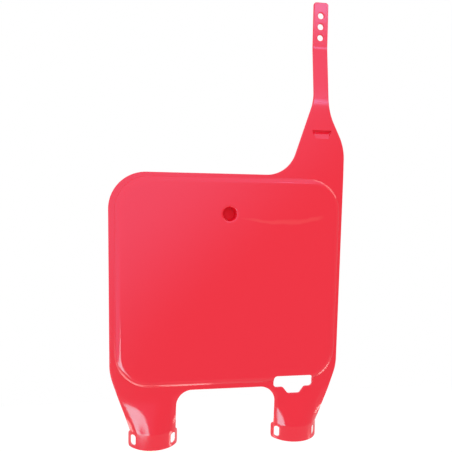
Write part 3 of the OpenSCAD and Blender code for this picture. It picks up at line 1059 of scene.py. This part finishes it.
@dataclass
class NodeBoard:
    """Adds and joins shader nodes in the tree of a material or world, which it empties first."""

    owner: bpy.types.Material | bpy.types.World

    def __post_init__(self) -> None:
        """Empties the tree."""
        self.owner.use_nodes = True
        self.tree = self.owner.node_tree
        self.tree.nodes.clear()

    def add(self, kind: str, inputs: Inputs | None = None, **settings: object) -> bpy.types.Node:
        """Adds a node, sets its properties and fills or links its inputs."""
        node = self.tree.nodes.new("ShaderNode" + kind)
        for name, value in settings.items():
            setattr(node, name, value)
        for name, value in (inputs or {}).items():
            if isinstance(value, Socket):
                self.tree.links.new(value, node.inputs[name])
            else:
                node.inputs[name].default_value = value
        return node

    def math(self, operation: str, *values: object) -> Socket:
        """Output of a math node."""
        return self.add("Math", dict(enumerate(values)), operation=operation).outputs[0]

    def ramp(self, value: Socket, source: Span = UNIT, target: Span = UNIT, smooth: bool = False) -> Socket:
        """Value taken from one span to another, in a straight line or as a smooth step."""
        kind = "SMOOTHSTEP" if smooth else "LINEAR"
        inputs = dict(enumerate((value, *source, *target)))
        return self.add("MapRange", inputs, interpolation_type=kind).outputs[0]

    def place(self) -> tuple[Socket, Socket, Socket, Socket]:
        """Place on the object in metres, and its X, Y and Z."""
        place = self.add("TexCoord").outputs["Object"]
        return place, *self.add("SeparateXYZ", {0: place}).outputs

    def finish(self, kind: str, surface: bpy.types.Node) -> None:
        """Ends the tree with an output node."""
        self.add(kind, {"Surface": surface.outputs[0]})


@dataclass(frozen=True)
class RedPolypropylene:
    """Glossy red injection-moulded polypropylene.

    Attributes:
        name: Name of the material.
        colour: Colour of the plastic.
        index: Its index of refraction.
        gloss: Roughness of the polished mould's face.
        spread: How far the roughness strays from that.
        core: Roughness that the mould's plain core pin leaves inside the cup.
        sheen: Specular level on the face and inside the cup.
        ripple: Wavelength and height in metres of the slow waviness that shrinkage leaves in a flat sheet.
        peel: Wavelength and height in metres of the fine unevenness of the polished face.
        noise_range: Span of noise over which the roughness strays.
        weld_highlight: Paler colour painted along the line where two streams of plastic met right of the cup,
            as a painted highlight.
        highlight_share: How much of that painted highlight the line shows.
        weld_height: Height in metres by which the line stands off the face; below 0 it is sunk.
        weld_curve: Factors in millimetres of x squared, x and 1 in the height of the line, a parabola.
        weld_waver: Scale and range in millimetres of the line's wavering.
        weld_reach: Core of the line, and its half widths in millimetres at its start and its end.
        weld_ends: Places in millimetres where the line starts, is full, widest, fades and stops.
        front_y: Place in metres before which the line shows, just behind the front of the field.
        cup: Radius in metres of what counts as the cup, and the places between which it starts.
    """

    name: str = "red_polypropylene"
    colour: str = "#ef1a33"
    index: float = 1.49
    gloss: float = 0.14
    spread: float = 0.015
    core: float = 0.55
    sheen: Span = (0.5, 0.15)
    ripple: Span = (0.045, 0.00006)
    peel: Span = (0.006, 0.0000012)
    noise_range: Span = (0.3, 0.7)
    # Paler colour along the weld line: a painted highlight, not the plastic's own colour.
    weld_highlight: str = "#ff7a70"
    highlight_share: float = 0.13
    weld_height: float = -0.00002
    weld_curve: Corner = (0.00202, -0.2212, -1.965)
    weld_waver: Span = (55.0, 6.0)
    weld_reach: Corner = (0.3, 1.7, 4.2)
    weld_ends: tuple[float, ...] = (10.0, 30.0, 90.0, 96.0, 104.0)
    front_y: float = -0.002
    cup: Corner = (0.0072, -0.001, 0.001)

    def weld_line(self, nodes: NodeBoard, place: Socket, x: Socket, y: Socket, z: Socket) -> Socket:
        """Share from 0 to 1 of the weld line.

        The line is a wavering parabola over the front face alone. It fades away from its middle as a
        smooth step, and widens from left to right. It sinks the face a little as a bump, and its paler colour
        is a painted highlight.
        """
        x, z = (nodes.math("MULTIPLY", value, 1 / MM) for value in (x, z))
        square, slope, base = self.weld_curve
        curve = nodes.math("MULTIPLY_ADD", nodes.math("MULTIPLY_ADD", x, square, slope), x, base)
        scale, amount = self.weld_waver
        waver = nodes.add("TexNoise", {"Vector": place, "Scale": scale, "Detail": 1.0}).outputs[0]
        curve = nodes.math("MULTIPLY_ADD", waver, amount, nodes.math("SUBTRACT", curve, amount / 2))
        gap = nodes.math("ABSOLUTE", nodes.math("SUBTRACT", z, curve))
        middle, narrow, wide = self.weld_reach
        start, full, widest, fade, stop = self.weld_ends
        reach = nodes.ramp(x, (start, widest), (narrow, wide))
        line = nodes.ramp(gap, (middle, reach), (1.0, 0.0), smooth=True)
        ends = nodes.math("MULTIPLY", nodes.ramp(x, (start, full)), nodes.ramp(x, (fade, stop), (1.0, 0.0)))
        shown = nodes.math("MULTIPLY", ends, nodes.math("LESS_THAN", y, self.front_y))
        return nodes.math("MULTIPLY", line, shown)

    def in_cup(self, nodes: NodeBoard, x: Socket, y: Socket, z: Socket) -> Socket:
        """1 inside the cup and 0 elsewhere, from the distance to its axis and the depth."""
        off = nodes.math("ADD", nodes.math("POWER", x, 2.0), nodes.math("POWER", z, 2.0))
        within = nodes.math("LESS_THAN", off, self.cup[0] ** 2)
        return nodes.math("MULTIPLY", within, nodes.ramp(y, self.cup[1:]))

    def material(self) -> bpy.types.Material:
        """Builds the material."""
        material = bpy.data.materials.new(self.name)
        nodes = NodeBoard(material)
        place, x, y, z = nodes.place()
        slow = nodes.add("TexNoise", {"Vector": place, "Scale": 1 / self.ripple[0], "Detail": 1.0}).outputs[0]
        fine = nodes.add("TexNoise", {"Vector": place, "Scale": 1 / self.peel[0], "Detail": 2.0}).outputs[0]
        weld_highlight = self.weld_line(nodes, place, x, y, z)
        height = nodes.math("MULTIPLY", slow, self.ripple[1])
        height = nodes.math("MULTIPLY_ADD", fine, self.peel[1], height)
        height = nodes.math("MULTIPLY_ADD", weld_highlight, self.weld_height, height)
        bump = nodes.add("Bump", {"Strength": 1.0, "Distance": 1.0, "Height": height})
        # The paler colour mixed in along the weld line is a painted highlight, standing in for light caught
        # along the line.
        share = nodes.math("MULTIPLY", weld_highlight, self.highlight_share)
        colours = {0: share, 6: linear_colour(self.colour), 7: linear_colour(self.weld_highlight)}
        colour = nodes.add("Mix", colours, data_type="RGBA")
        cup = self.in_cup(nodes, x, y, z)
        rough = nodes.ramp(fine, self.noise_range, (self.gloss - self.spread, self.gloss + self.spread))
        shader = nodes.add("BsdfPrincipled", {
            "Base Color": colour.outputs[2],
            "Roughness": nodes.ramp(cup, target=(rough, self.core)),
            "Specular IOR Level": nodes.ramp(cup, target=self.sheen),
            "IOR": self.index,
            "Normal": bump.outputs[0],
        })
        nodes.finish("OutputMaterial", shader)
        return material


def toward(azimuth: float, elevation: float) -> Vector:
    """Unit vector from the board into the studio.

    Args:
        azimuth: Degrees to the right of straight ahead of the board, as its front is seen.
        elevation: Degrees above level.

    Returns:
        The direction.
    """
    a, e = math.radians(azimuth), math.radians(elevation)
    return Vector((math.sin(a) * math.cos(e), -math.cos(a) * math.cos(e), math.sin(e)))


@dataclass(frozen=True)
class Card:
    """A soft rectangular light.

    Attributes:
        name: Name of the light.
        away: Direction in which it lies from what it lights, as azimuth and elevation in degrees.
        size: Width and height in metres.
        radiance: Brightness, where 1 is white.
        place: Its middle in metres, or its distance from the board.
        tint: Colour.
        gloss: Whether a gloss reflects it; else it lights matt surfaces alone.
    """

    name: str
    away: Span
    size: Span
    radiance: float
    place: Corner | float
    tint: str = "#ffffff"
    gloss: bool = True

    def build(self) -> None:
        """Places the light."""
        light = bpy.data.lights.new(self.name, "AREA")
        light.shape = "RECTANGLE"
        light.size, light.size_y = self.size
        light.energy = self.radiance * math.pi * light.size * light.size_y
        light.color = linear_colour(self.tint)[:3]
        lamp = bpy.data.objects.new(self.name, light)
        way = toward(*self.away)
        place = Vector(self.place) if isinstance(self.place, tuple) else way * self.place
        lamp.matrix_world = Matrix.Translation(place) @ way.to_track_quat("Z", "Y").to_matrix().to_4x4()
        lamp.visible_camera = False
        lamp.visible_diffuse = not self.gloss
        lamp.visible_glossy = self.gloss
        bpy.context.scene.collection.objects.link(lamp)


def flat_piece(name: str, corners: Sequence[Corner], material: bpy.types.Material) -> bpy.types.Object:
    """Adds a flat studio piece, which isn't part of the board."""
    mesh = bpy.data.meshes.new(name)
    mesh.from_pydata(corners, [], [tuple(range(len(corners)))])
    mesh.materials.append(material)
    piece = bpy.data.objects.new(name, mesh)
    bpy.context.scene.collection.objects.link(piece)
    return piece


def only_in_gloss(piece: bpy.types.Object) -> None:
    """Lets a studio piece show in nothing but reflections."""
    piece.visible_camera = piece.visible_diffuse = piece.visible_shadow = piece.visible_transmission = False


@dataclass(frozen=True)
class SheerScreen:
    """Sheer screen close in front of the board, which only a gloss shows, as a soft veil of light.

    The veil's brightness rises from nothing to full, as a smooth step, while z - lean * x goes from its
    lower to its upper edge; all in metres.

    Attributes:
        place_y: Place of the screen before the board.
        reach: Its left and right end, foot and head.
        lean: Lean of the veil's edge.
        edges: Lower and upper edge of the veil.
        colour: Brightness in red, green and blue, where 1 is white.
    """

    place_y: float = -0.26
    reach: tuple[float, ...] = (-1.6, 1.2, -0.45, 1.6)
    lean: float = 0.92
    edges: Span = (-0.17, 0.12)
    colour: Corner = (0.3, 1.0, 1.8)

    def build(self) -> None:
        """Adds the screen."""
        material = bpy.data.materials.new("sheer_screen")
        nodes = NodeBoard(material)
        _, x, _, z = nodes.place()
        veil = nodes.ramp(nodes.math("MULTIPLY_ADD", x, -self.lean, z), self.edges, smooth=True)
        glow = nodes.add("Emission", {"Color": (*self.colour, 1.0), "Strength": veil})
        clear = nodes.add("BsdfTransparent")
        nodes.finish("OutputMaterial", nodes.add("AddShader", {0: clear.outputs[0], 1: glow.outputs[0]}))
        left, right, foot, head = self.reach
        corners = [(left, foot), (right, foot), (right, head), (left, head)]
        only_in_gloss(flat_piece("screen", [(x, self.place_y, z) for x, z in corners], material))


@dataclass(frozen=True)
class SideScreen:
    """Bright screen low at the board's left, which a gloss shows as a patch on each leg.

    Attributes:
        start: Its near edge in the plan view, in metres.
        end: Its far edge.
        outline: Corners as (distance from the near edge, height) in metres.
        colour: Brightness in red, green and blue, where 1 is white.
    """

    start: Span = (-0.165, -0.263)
    end: Span = (-0.5, -0.05)
    outline: tuple[Span, ...] = (
        (-0.012, -0.335), (0.2, -0.35), (0.3, -0.366), (0.26, -0.31),
        (0.13, -0.264), (0.033, -0.199), (-0.012, -0.172),
    )
    colour: Corner = (2.2, 10.2, 11.2)

    def build(self) -> None:
        """Adds the screen."""
        material = bpy.data.materials.new("bright_screen")
        nodes = NodeBoard(material)
        nodes.finish("OutputMaterial", nodes.add("Emission", {"Color": (*self.colour, 1.0), "Strength": 1.0}))
        start = Vector(self.start)
        along = (Vector(self.end) - start).normalized()
        corners = [(*(start + along * far), height) for far, height in self.outline]
        only_in_gloss(flat_piece("side_screen", corners, material))


@dataclass(frozen=True)
class Studio:
    """White studio: floor well below the hung board, even world light, soft cards and two screens.

    Attributes:
        floor_z: Height of the floor in metres.
        floor_half: Half its width.
        floor_level: Its grey, where 1 is white.
        floor_glow: What lifts it to white for the camera, and in gloss and glass.
        matt_level: Brightness of the world that lights matt surfaces.
        gloss_level: Brightness of the world in a gloss.
        backdrop_colour: Brightness in red, green and blue that a gloss sees besides, behind the board.
        backdrop_edges: Share of the direction along Y at which that starts and is full.
    """

    floor_z: float = -0.46
    floor_half: float = 0.7
    floor_level: float = 0.8
    floor_glow: float = 0.27
    matt_level: float = 0.95
    gloss_level: float = 0.72
    backdrop_colour: Corner = (0.5, 0.5, 0.6)
    backdrop_edges: Span = (0.0, 0.3)

    def white_world(self) -> None:
        """World that is white to the camera, and lights matt and glossy surfaces each at its own level."""
        world = bpy.data.worlds.new("studio")
        bpy.context.scene.world = world
        nodes = NodeBoard(world)
        path = nodes.add("LightPath").outputs
        seen = nodes.math("ADD", path["Is Camera Ray"], path["Is Transmission Ray"])
        level = nodes.ramp(seen, target=(self.matt_level, 1.0))
        matt = nodes.add("Background", {"Color": (1.0, 1.0, 1.0, 1.0), "Strength": level})
        way = nodes.add("SeparateXYZ", {0: nodes.add("TexCoord").outputs["Generated"]}).outputs
        behind = nodes.ramp(way["Y"], self.backdrop_edges, smooth=True)
        colour = nodes.add(
            "VectorMath",
            {0: behind, 1: self.backdrop_colour, 2: (self.gloss_level,) * 3},
            operation="MULTIPLY_ADD",
        )
        gloss = nodes.add("Background", {"Color": colour.outputs[0], "Strength": 1.0})
        both = nodes.add("MixShader", {0: path["Is Glossy Ray"], 1: matt.outputs[0], 2: gloss.outputs[0]})
        nodes.finish("OutputWorld", both)

    def floor(self) -> None:
        """Pale floor, lifted to white where it is seen, with the board's soft shadow kept."""
        material = bpy.data.materials.new("pale_floor")
        nodes = NodeBoard(material)
        path = nodes.add("LightPath").outputs
        seen = nodes.math("ADD", path["Is Camera Ray"], path["Is Glossy Ray"])
        seen = nodes.math("ADD", seen, path["Is Transmission Ray"])
        matt = nodes.add("BsdfDiffuse", {"Color": (*(self.floor_level,) * 3, 1.0)})
        glow = nodes.add("Emission", {"Strength": nodes.math("MULTIPLY", seen, self.floor_glow)})
        nodes.finish("OutputMaterial", nodes.add("AddShader", {0: matt.outputs[0], 1: glow.outputs[0]}))
        half = self.floor_half
        corners = [(-half, -half), (half, -half), (half, half), (-half, half)]
        flat_piece("floor", [(x, y, self.floor_z) for x, y in corners], material)

    def build(self) -> None:
        """Builds world, floor, screens and lights."""
        self.white_world()
        self.floor()
        SheerScreen().build()
        SideScreen().build()
        low = self.floor_z + 0.01
        for card in (
            Card("key", (-12.0, 26.0), (1.4, 1.4), 1.2, 2.4, gloss=False),
            Card("strip", (21.5, 23.8), (0.30, 0.27), 7.5, 3.0, "#70c0ff"),
            Card("right_high", (84.0, 38.0), (0.26, 0.8), 4.0, 1.0, "#ffe8e0"),
            Card("foot_glow", (0.0, -90.0), (0.44, 0.2), 7.0, (-0.2, 0.02, low), "#ffd8d0"),
            Card("corner_glow", (0.0, -90.0), (0.22, 0.1), 9.0, (0.44, -0.05, low), "#ffd8d0"),
        ):
            card.build()


@dataclass(frozen=True)
class PhotoCamera:
    """Camera at the photograph's viewing angle; lengths in metres, angles in radians."""

    eye: Corner = (-0.103545, -0.555714, 0.016688)
    yaw: float = 0.178
    pitch: float = -0.052
    roll: float = 0.017
    focal_px: float = 540.0
    image_px: float = 452.0

    def build(self) -> None:
        """Adds the camera and makes it the scene's own."""
        ahead = Vector((
            math.sin(self.yaw) * math.cos(self.pitch),
            math.cos(self.yaw) * math.cos(self.pitch),
            math.sin(self.pitch),
        ))
        level = Vector((math.cos(self.yaw), -math.sin(self.yaw), 0.0))
        upright = level.cross(ahead)
        right = level * math.cos(self.roll) + upright * math.sin(self.roll)
        up = upright * math.cos(self.roll) - level * math.sin(self.roll)
        data = bpy.data.cameras.new("camera")
        data.sensor_fit = "HORIZONTAL"
        data.sensor_width = 36.0
        data.lens = data.sensor_width * self.focal_px / self.image_px
        data.clip_start, data.clip_end = 0.01, 60.0
        camera = bpy.data.objects.new("camera", data)
        turn = Matrix((right, up, -ahead)).transposed().to_4x4()
        camera.matrix_world = Matrix.Translation(Vector(self.eye)) @ turn
        bpy.context.scene.collection.objects.link(camera)
        bpy.context.scene.camera = camera


def main() -> None:
    """Loads the frame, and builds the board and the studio."""
    logging.basicConfig(level=logging.INFO, format="%(message)s")
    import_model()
    bpy.context.scene.view_settings.view_transform = "Standard"
    PhotoCamera().build()
    Studio().build()
    BoardMoulding().build()


if __name__ == "__main__":
    main()
